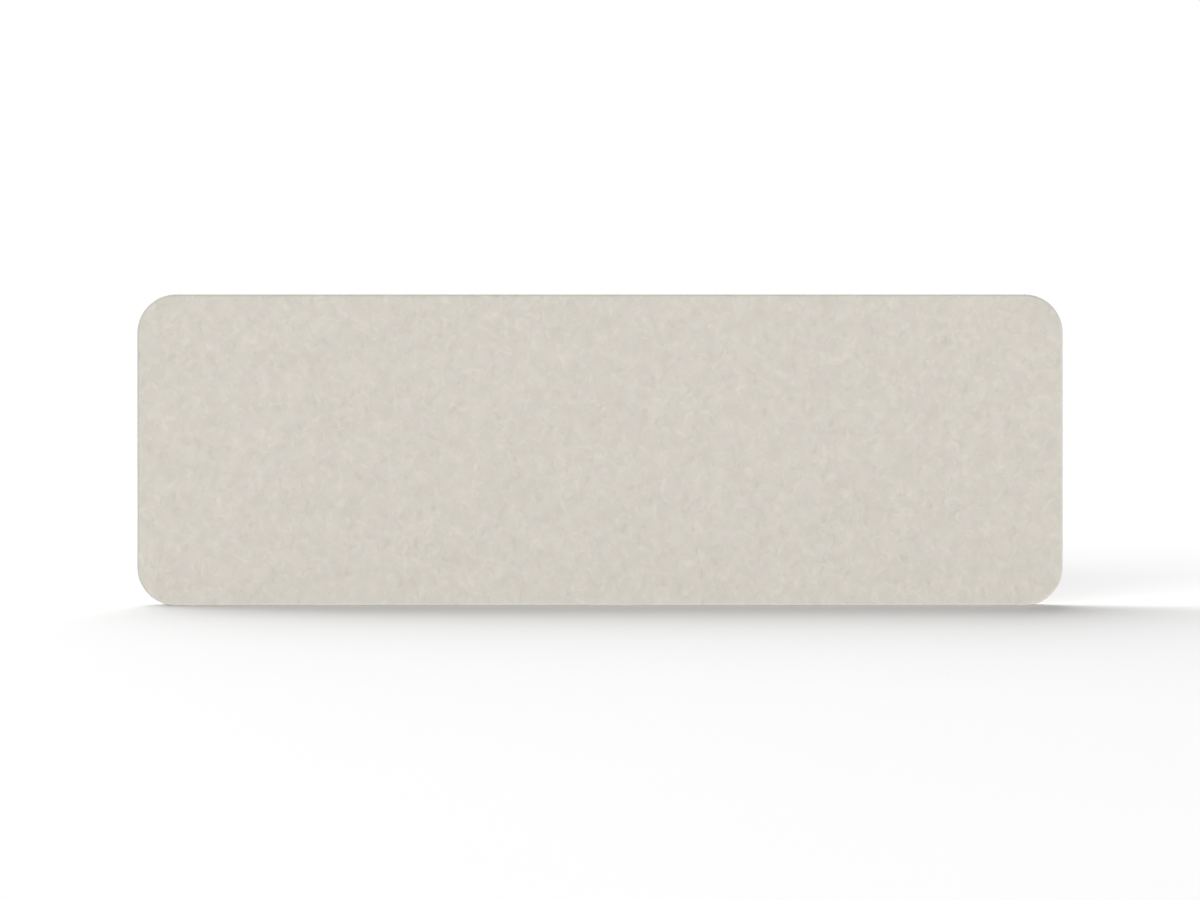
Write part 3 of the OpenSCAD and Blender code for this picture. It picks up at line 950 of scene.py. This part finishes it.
class DIVIDER_OT_edge_band(Operator):
    """Add the felt band round the edge, with its clearances for the inserts"""

    bl_idname = "divider.edge_band"
    bl_label = "Edge band"

    def execute(self, context):
        cover = context.scene.divider_cover
        path = self.band_path(cover)
        half_tab = STRIP_LOW.y
        middle = [-0.0035, 0, 0.0035]
        beside = [half_tab, 0.0095, *reversed(NEAR_SEAM)]
        across = [-y for y in reversed(beside)] + middle + beside
        rows = []
        for x, z, out_x, out_z, is_tab in path:
            row = []
            for y in across:
                if is_tab and abs(y) > half_tab + 1e-6:
                    row.append(None)
                    continue
                place = Vector((x, y, z))
                from_seam = SEAM_Y - abs(y)
                out = unevenness(place, cover.uneven, size=0.09) - seam_dip(from_seam, cover.seam_depth)
                out += unevenness(place, cover.uneven, size=0.012) * fading(from_seam, reach=0.004)
                if is_tab:
                    out = 0.0
                row.append((x + out * out_x, y, z + out * out_z))
            rows.append(row)
        band = give_wall(new_piece("edge_felt", ribbon_mesh(rows), felt_material()), cover.cloth)
        cut_with(band, insert_cutters(top=0.003))
        finish_piece(band, "cover_felt", "edge_band")
        return {"FINISHED"}

    def band_path(self, cover):
        """Along the band from the tab at one end of the zip to the tab at the other: x, z, the way out,
        and whether the place is on a tab."""
        end = STRIP_HIGH.x
        fold = cover.cloth
        heights = (STRIP_HIGH.z, 0.0042, 0.0028, 0.0016)
        tab = [(end - fold, z, -1, 0, True) for z in heights]
        for turn in QUARTER[:-1]:
            out_x, out_z = -math.cos(turn), -math.sin(turn)
            tab.append((end + fold * out_x, fold + fold * out_z, out_x, out_z, True))
        tab.append((end, 0.0, 0, -1, False))
        ring = outline(0, cover.spacing)
        beyond = end + 0.001
        first = next(index for index, point in enumerate(ring) if point[0] > beyond)
        rest = ring[first:] + [point for point in ring[:first] if point[0] < -beyond]
        other = [(-x, z, -out_x, out_z, is_tab) for x, z, out_x, out_z, is_tab in reversed(tab)]
        return tab + [(*point, False) for point in rest] + other


def fold_up(y, z, radius, way):
    """Places of a fold that starts level at this y and z and turns upwards: y, z and the way out."""
    places = []
    for turn in QUARTER:
        sine, cosine = math.sin(turn), math.cos(turn)
        places.append((y + way * radius * sine, z + radius - radius * cosine, way * sine, -cosine))
    return places


def long_strip(profile, end, spacing, side, lift):
    """A strip along X with the same profile all along, whose places are y, z and the way out.

    lift(place) gives how far a point stands out from the profile.
    """
    count = round(2 * end / spacing)
    rows = []
    for step in range(count + 1):
        x = -end + 2 * end * step / count
        row = []
        for y, z, out_y, out_z in profile:
            out = lift(Vector((x, side * y, z)))
            row.append((x, side * (y + out * out_y), z + out * out_z))
        rows.append(row if side == FRONT else row[::-1])
    return ribbon_mesh(rows)


def zip_sewing(more=0.0003):
    """Distance from the middle plane of the sewing beside the zip, a little farther from the edge of
    the strip than the other sewing is from its seam."""
    return STRIP_LOW.y + bpy.context.scene.divider_stitches.from_seam + more


class DIVIDER_OT_zip_strips(Operator):
    """Add the felt strips under the screen, each folded up into the zip channel"""

    bl_idname = "divider.zip_strips"
    bl_label = "Zip strips"

    def execute(self, context):
        cover = context.scene.divider_cover
        end, high = STRIP_HIGH.x, STRIP_HIGH.z
        fold = cover.cloth
        sewn = zip_sewing()
        from_sewing = (0.0014, 0.0006, 0.0003, 0, -0.0003, -0.0006, -0.001, -0.0016)
        level = [*NEAR_SEAM, *(sewn + gap for gap in from_sewing)]
        profile = [(y, 0.0, 0, -1) for y in level]
        profile += fold_up(STRIP_LOW.y + fold, 0.0, fold, -1)
        heights = (0.0018, 0.003, 0.0042, high)
        profile += [(STRIP_LOW.y, z, -1, 0) for z in heights]

        def lift(place):
            rise = 0.5 * unevenness(place, cover.uneven, size=0.05)
            dip = seam_dip(SEAM_Y - abs(place.y), cover.seam_depth)
            if place.z == 0:
                dip += seam_dip(abs(place.y) - sewn, 0.45 * cover.seam_depth)
            held_from = 0.003
            return rise * min(1, abs(high - place.z) / held_from) - dip

        for side, name in SIDES:
            surface = long_strip(profile, end, cover.spacing, side, lift)
            strip = give_wall(new_piece(f"{name}_strip", surface, felt_material()), fold)
            finish_piece(strip, "cover_felt", f"{name}_zip_strip")
        return {"FINISHED"}


class DIVIDER_OT_stitches(Operator):
    """Sew the seams and the zip: a line round each seam, two along each side of the zip, one at each end"""

    bl_idname = "divider.stitches"
    bl_label = "Stitches"

    def execute(self, context):
        stitches = context.scene.divider_stitches
        tree = stitch_tree()
        values = {
            "Pitch": stitches.pitch,
            "Stitch length": stitches.stitch,
            "Thread radius": stitches.radius,
            "Thread": thread_finish("Sewing thread", stitches.thread),
        }
        sunk = stitches.radius * 0.1
        in_dip, under_tape = 0.0002, 0.0001
        from_end, from_wall = 0.004, 0.0021
        strip_z, tape_z = sunk + in_dip, TAPE_LOW.z + sunk - under_tape
        end = STRIP_HIGH.x - from_end
        paths = {}
        for side, name in SIDES:
            seam_y = side * (SEAM_Y - stitches.from_seam)
            strip_y = side * zip_sewing()
            tape_y = side * (TAPE_HIGH.y - from_wall)
            ring = outline(sunk, spacing=0.002)
            paths[f"{name}_seam_stitches"] = [(x, seam_y, z) for x, z, *out in ring]
            paths[f"{name}_strip_stitches"] = [(x, strip_y, strip_z) for x in (-end, end)]
            paths[f"{name}_tape_stitches"] = [(x, tape_y, tape_z) for x in (-end, end)]
        reach = STRIP_LOW.y - stitches.radius
        past_end = stitches.from_seam + 0.0004
        for side, name in ((-1, "left"), (1, "right")):
            x = side * (STRIP_HIGH.x + past_end)
            paths[f"{name}_end_stitches"] = [(x, -reach, -sunk), (x, reach, -sunk)]
        for name, points in paths.items():
            finish_piece(grown_piece(name, path_mesh(name, points), tree, values), "cover_felt")
        return {"FINISHED"}


class DIVIDER_OT_zip_tapes(Operator):
    """Add the woven tapes, each turned up against the side of the channel"""

    bl_idname = "divider.zip_tapes"
    bl_label = "Zip tapes"

    def execute(self, context):
        settings = context.scene.divider_zip
        material = tape_finish("Woven tape", settings.tape, yarn=0.0005)
        fold = settings.tape_thickness
        end, wall_y = TAPE_HIGH.x, TAPE_HIGH.y
        low, high = TAPE_LOW.z, TAPE_HIGH.z
        level = (TAPE_LOW.y, 0.0014, 0.002, 0.003, 0.0042, 0.0054, 0.0064)
        profile = [(y, low, 0, -1) for y in level]
        profile += fold_up(wall_y - fold, low, fold, 1)
        heights = (low + 0.0015, low + 0.003, high)
        profile += [(wall_y, z, 1, 0) for z in heights]
        profile.reverse()
        spacing = 0.006

        def lift(place):
            return unevenness(place, amount=0.00005, size=0.03)

        for side, name in SIDES:
            surface = long_strip(profile, end, spacing, side, lift)
            tape = give_wall(new_piece(f"{name}_tape", surface, material), fold)
            finish_piece(tape, "zip_tape", f"{name}_zip_tape")
        return {"FINISHED"}


class DIVIDER_OT_zip_coils(Operator):
    """Add the two nylon coils, their turns meeting between the tapes"""

    bl_idname = "divider.zip_coils"
    bl_label = "Zip coils"

    def execute(self, context):
        settings = context.scene.divider_zip
        tree = coil_tree()
        past_middle = 0.0004
        reach = COIL_HIGH.y
        tall = (COIL_HIGH.z - COIL_LOW.z) / 2
        run = COIL_HIGH.x - COIL_LOW.x - 2 * settings.wire - settings.coil_pitch / 2
        values = {
            "Length": run,
            "Turns": run / settings.coil_pitch,
            "Half width": (reach + past_middle) / 2 - settings.wire,
            "Half height": tall - settings.wire,
            "Wire radius": settings.wire,
            "Wire": coil_finish("Nylon coil", settings.coil),
        }
        for side, name in SIDES:
            start = COIL_LOW.x + settings.wire + (settings.coil_pitch / 2 if side == REAR else 0)
            values["Start"] = (start, side * (reach - past_middle) / 2, COIL_LOW.z + tall)
            empty = bpy.data.meshes.new("empty")
            coil = grown_piece(f"{name}_coil", empty, tree, values)
            finish_piece(coil, "zip_coil", f"{name}_zip_coil")
        return {"FINISHED"}


class DIVIDER_OT_zip_metal(Operator):
    """Add the zip's slider, pull and stops"""

    bl_idname = "divider.zip_metal"
    bl_label = "Slider, pull and stops"

    def execute(self, context):
        settings = context.scene.divider_zip
        zinc = metal_finish("Tumbled zinc", settings.metal, roughness=0.34, grain=0.0005)
        bevel = {"segments": 3, "limit_method": "ANGLE", "angle_limit": math.radians(30)}
        bevel |= {"use_clamp_overlap": True, "harden_normals": True}
        bodies = {"slider": "zip_slider", "pull": "zip_pull", "top_stops": BODY, "bottom_stop": BODY}
        for name, body in bodies.items():
            piece = shape_object(name, merged_shape(f"zip_{name}"), zinc)
            piece.data.shade_smooth()
            add_modifier(piece, "Eased edges", "BEVEL", width=settings.eased, **bevel)
            finish_piece(apply_modifiers(piece), "zip_metal", f"zip_{name}", body=body)
        return {"FINISHED"}


class DIVIDER_OT_inserts(Operator):
    """Add the threaded inserts for desk brackets"""

    bl_idname = "divider.inserts"
    bl_label = "Bracket inserts"

    def execute(self, context):
        settings = context.scene.divider_inserts
        material = metal_finish("Plated steel", settings.metal, roughness=0.3, grain=0.0007)
        centres = insert_centres()
        rings = self.rings(settings, INSERT_HIGH.x - centres[-1])
        around = 48
        points = []
        faces = []
        for centre in centres:
            faces += ring_faces(len(rings), around, first=len(points), closed=True)
            for z, radius in rings:
                for step in range(around):
                    turn = math.tau * step / around
                    reach = radius(turn) if callable(radius) else radius
                    points.append((centre + reach * math.cos(turn), reach * math.sin(turn), z))
        piece = new_piece("threaded_inserts", (points, faces), material)
        edit_mesh(piece.data, face_outwards)
        piece.data.set_sharp_from_angle(angle=math.radians(40))
        finish_piece(piece, "insert_metal", "bracket_inserts")
        return {"FINISHED"}

    def rings(self, settings, rim):
        """The turned shape as heights with their radius, plain or a function of the angle: up the
        threaded bore, out over the top, down the knurled barrel and back under the rim."""
        low, high = INSERT_LOW.z, INSERT_HIGH.z
        bore, barrel = settings.bore, settings.barrel
        rim_top = low + settings.rim
        ease, knurls, knurl_depth = 0.0003, 12, 0.0002

        def thread(z, share):
            def at(turn):
                turns = z / settings.thread_pitch - turn / math.tau
                return bore + settings.thread_depth * share * abs(turns % 1.0 - 0.5) * 2

            return at

        def knurl(turn):
            return barrel - knurl_depth * (0.5 + 0.5 * math.sin(knurls * turn))

        rings = [(low, bore + 2 * ease), (low + ease, bore + ease)]
        steps, fade = 88, 6
        for step in range(steps + 1):
            z = low + 2 * ease + (high - low - 0.001) * step / steps
            rings.append((z, thread(z, min(1.0, step / fade, (steps - step) / fade))))
        rings += [(high, bore + ease), (high, barrel - 2 * ease)]
        rings += [(z, knurl) for z in (high - 0.0005, high - 0.004, rim_top + 0.003)]
        rings += [(rim_top + 0.001, barrel), (rim_top, barrel), (rim_top, rim - 0.0002)]
        return rings + [(rim_top - 0.0002, rim), (low + ease, rim), (low, rim - ease)]


class DIVIDER_OT_foam(Operator):
    """Add the foam strip round the frame's edge"""

    bl_idname = "divider.foam"
    bl_label = "Foam strip"

    def execute(self, context):
        cover = context.scene.divider_cover
        settings = context.scene.divider_padding
        half = FOAM_HIGH.y
        trimmed = half - 0.0003
        across = [-trimmed, *(half * step / 8 for step in range(-7, 8)), trimmed]
        ring = outline(FOAM_LOW.z, cover.spacing * 1.5)
        softness = 0.00008
        rows = []
        for x, z, out_x, out_z in [*ring, ring[0]]:
            row = []
            for y in across:
                squeeze = softness + unevenness(Vector((x, y, z)), softness, size=0.01)
                row.append((x - squeeze * out_x, y, z - squeeze * out_z))
            rows.append(row)
        foam = new_piece("foam_strip", ribbon_mesh(rows), foam_finish("Open foam", settings.foam))
        edit_mesh(foam.data, join_doubles)
        give_wall(foam, thickness=0.0014)
        channel = bmesh.new()
        bmesh.ops.create_cube(channel, size=1)
        size = (2 * STRIP_HIGH.x, 2 * (STRIP_LOW.y + cover.cloth), 0.01)
        bmesh.ops.scale(channel, vec=size, verts=channel.verts)
        cut_with(foam, [*insert_cutters(top=0.004), shape_object("cutter", channel)])
        finish_piece(foam, "foam", "edge_foam")
        return {"FINISHED"}


class DIVIDER_OT_boards(Operator):
    """Add the stiff felt boards under the cover"""

    bl_idname = "divider.boards"
    bl_label = "Felt boards"

    def execute(self, context):
        settings = context.scene.divider_padding
        material = board_finish("Pressed felt board", settings.board)
        inward = FACING_LOW.z
        outer, inner = -FACING_LOW.y, -FACING_HIGH.y
        spacing, edge = 0.012, 0.0006
        deep = context.scene.divider_cover.corner_radius - 0.005
        half = [(deep, 0), (inward + 0.01, 0), (inward + edge, 0)]
        half += [(inward + 0.3 * edge, 0.3 * edge), (inward, edge)]
        profile = [(place, inner + rise) for place, rise in half]
        profile.append((inward, (inner + outer) / 2))
        profile += [(place, outer - rise) for place, rise in reversed(half)]
        for side, name in SIDES:
            points, faces = panel_mesh(profile, spacing, side)
            back_points, back_faces = panel_mesh(profile[:1], spacing, side)
            shift = len(points)
            faces += [tuple(shift + corner for corner in reversed(face)) for face in back_faces]
            board = new_piece(f"{name}_board", (points + back_points, faces), material)
            edit_mesh(board.data, join_doubles)
            finish_piece(board, "felt_board", f"{name}_facing")
        return {"FINISHED"}


class DIVIDER_OT_absorbers(Operator):
    """Add the sound-absorbing slabs between the rails"""

    bl_idname = "divider.absorbers"
    bl_label = "Absorber slabs"

    def execute(self, context):
        settings = context.scene.divider_padding
        material = fleece_finish("Absorber fleece", settings.fleece)
        for bay in ("left", "centre", "right"):
            slab = shape_object(f"{bay}_slab", merged_shape(f"{bay}_absorber"), material)
            add_modifier(slab, "Even mesh", "REMESH", mode="VOXEL", voxel_size=settings.voxel)
            add_modifier(slab, "Soft edges", "SMOOTH", iterations=2)
            apply_modifiers(slab)
            slab.data.shade_smooth()
            for vertex in slab.data.vertices:
                sink = settings.loft * 0.5 + unevenness(vertex.co, settings.loft, size=0.03)
                vertex.co -= vertex.normal * max(0.0, sink)
            finish_piece(slab, "absorber_fleece", f"{bay}_absorber")
        return {"FINISHED"}


class DIVIDER_OT_dowels(Operator):
    """Add the fluted dowels of the frame's joints"""

    bl_idname = "divider.dowels"
    bl_label = "Dowels"

    def execute(self, context):
        settings = context.scene.divider_timber
        material = beech_finish("Beech", settings.beech)
        tree = dowel_tree()
        for joints in ("corner", "upright"):
            name, node = f"{joints}_fluted_dowels", f"{joints}_dowels"
            boxes = solid_boxes(node)
            sizes = np.array([high - low for low, high in boxes])
            dowel = self.dowel(sizes.max(), np.sort(sizes[0])[1] / 2, settings)
            mesh = bpy.data.meshes.new(name)
            mesh.from_pydata([tuple((low + high) / 2) for low, high in boxes], [], [])
            axes = mesh.attributes.new("axis", "FLOAT_VECTOR", "POINT")
            for item, size in zip(axes.data, sizes):
                item.vector = np.eye(3)[size.argmax()]
            piece = grown_piece(name, mesh, tree, {"Dowel": dowel, "Beech": material})
            bpy.data.objects.remove(dowel)
            finish_piece(piece, "dowel_beech", node)
        return {"FINISHED"}

    def dowel(self, long, radius, settings):
        """One dowel along X: chamfered ends and grooves along it."""
        around = settings.flutes * 2
        half, tip, chamfer = long / 2, 0.7, 0.0012
        shoulder = half - chamfer
        rings = [(-half, tip), (-shoulder, 1.0), (0.0, 1.0), (shoulder, 1.0), (half, tip)]
        points = []
        for x, share in rings:
            for step in range(around):
                turn = math.tau * step / around
                reach = (radius - (settings.flute_depth if step % 2 else 0.0)) * share
                points.append((x, reach * math.cos(turn), reach * math.sin(turn)))
        faces = ring_faces(len(rings), around)
        faces.append(tuple(range(around)))
        faces.append(tuple(reversed(range(len(points) - around, len(points)))))
        mesh = bpy.data.meshes.new("dowel")
        mesh.from_pydata(points, [], faces)
        edit_mesh(mesh, face_outwards)
        return new_object("dowel", mesh)


class DIVIDER_OT_timber(Operator):
    """Give the rails, stiles, uprights and corner blocks their wood"""

    bl_idname = "divider.timber"
    bl_label = "Timber"

    def execute(self, context):
        settings = context.scene.divider_timber
        lying = timber_finish("Softwood rail", settings.rail, upright=False)
        standing = timber_finish("Softwood upright", settings.rail, upright=True)
        plywood = plywood_finish("Birch plywood", settings.plywood, settings.layer)
        woods = {"bottom_rail": lying, "top_rail": lying}
        for side in ("left", "right"):
            woods |= {f"{side}_stile": standing, f"{side}_upright": standing}
            woods |= {f"corner_block_{level}_{side}": plywood for level in ("bottom", "top")}
        for node, material in woods.items():
            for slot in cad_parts[node].material_slots:
                slot.material = material
        return {"FINISHED"}


class DIVIDER_PT_sidebar(Panel):
    """Lists the pieces of the divider screen"""

    bl_label = "Divider screen"
    bl_idname = "DIVIDER_PT_sidebar"
    bl_space_type = "VIEW_3D"
    bl_region_type = "UI"
    bl_category = "Divider screen"

    def draw(self, context):
        for group in GROUPS:
            settings = getattr(context.scene, group)
            box = self.layout.box()
            box.label(text=settings.bl_rna.description)
            for name in settings.bl_rna.properties.keys():
                if name not in ("rna_type", "name"):
                    box.prop(settings, name)
        for operator in OPERATORS:
            self.layout.operator(operator.bl_idname)


GROUPS = {
    "divider_stage": StageSettings,
    "divider_cover": CoverSettings,
    "divider_stitches": StitchSettings,
    "divider_zip": ZipSettings,
    "divider_inserts": InsertSettings,
    "divider_padding": PaddingSettings,
    "divider_timber": TimberSettings,
}
OPERATORS = (
    DIVIDER_OT_stage,
    DIVIDER_OT_timber,
    DIVIDER_OT_dowels,
    DIVIDER_OT_absorbers,
    DIVIDER_OT_boards,
    DIVIDER_OT_foam,
    DIVIDER_OT_felt_faces,
    DIVIDER_OT_edge_band,
    DIVIDER_OT_zip_strips,
    DIVIDER_OT_zip_tapes,
    DIVIDER_OT_zip_coils,
    DIVIDER_OT_zip_metal,
    DIVIDER_OT_inserts,
    DIVIDER_OT_stitches,
)
CLASSES = (*GROUPS.values(), *OPERATORS, DIVIDER_PT_sidebar)


def register():
    for kind in CLASSES:
        bpy.utils.register_class(kind)
    for group, kind in GROUPS.items():
        setattr(bpy.types.Scene, group, PointerProperty(type=kind))


def unregister():
    for group in GROUPS:
        delattr(bpy.types.Scene, group)
    for kind in reversed(CLASSES):
        bpy.utils.unregister_class(kind)


def main():
    register()
    for operator in OPERATORS:
        group, name = operator.bl_idname.split(".")
        getattr(getattr(bpy.ops, group), name)()


if __name__ == "__main__":
    main()
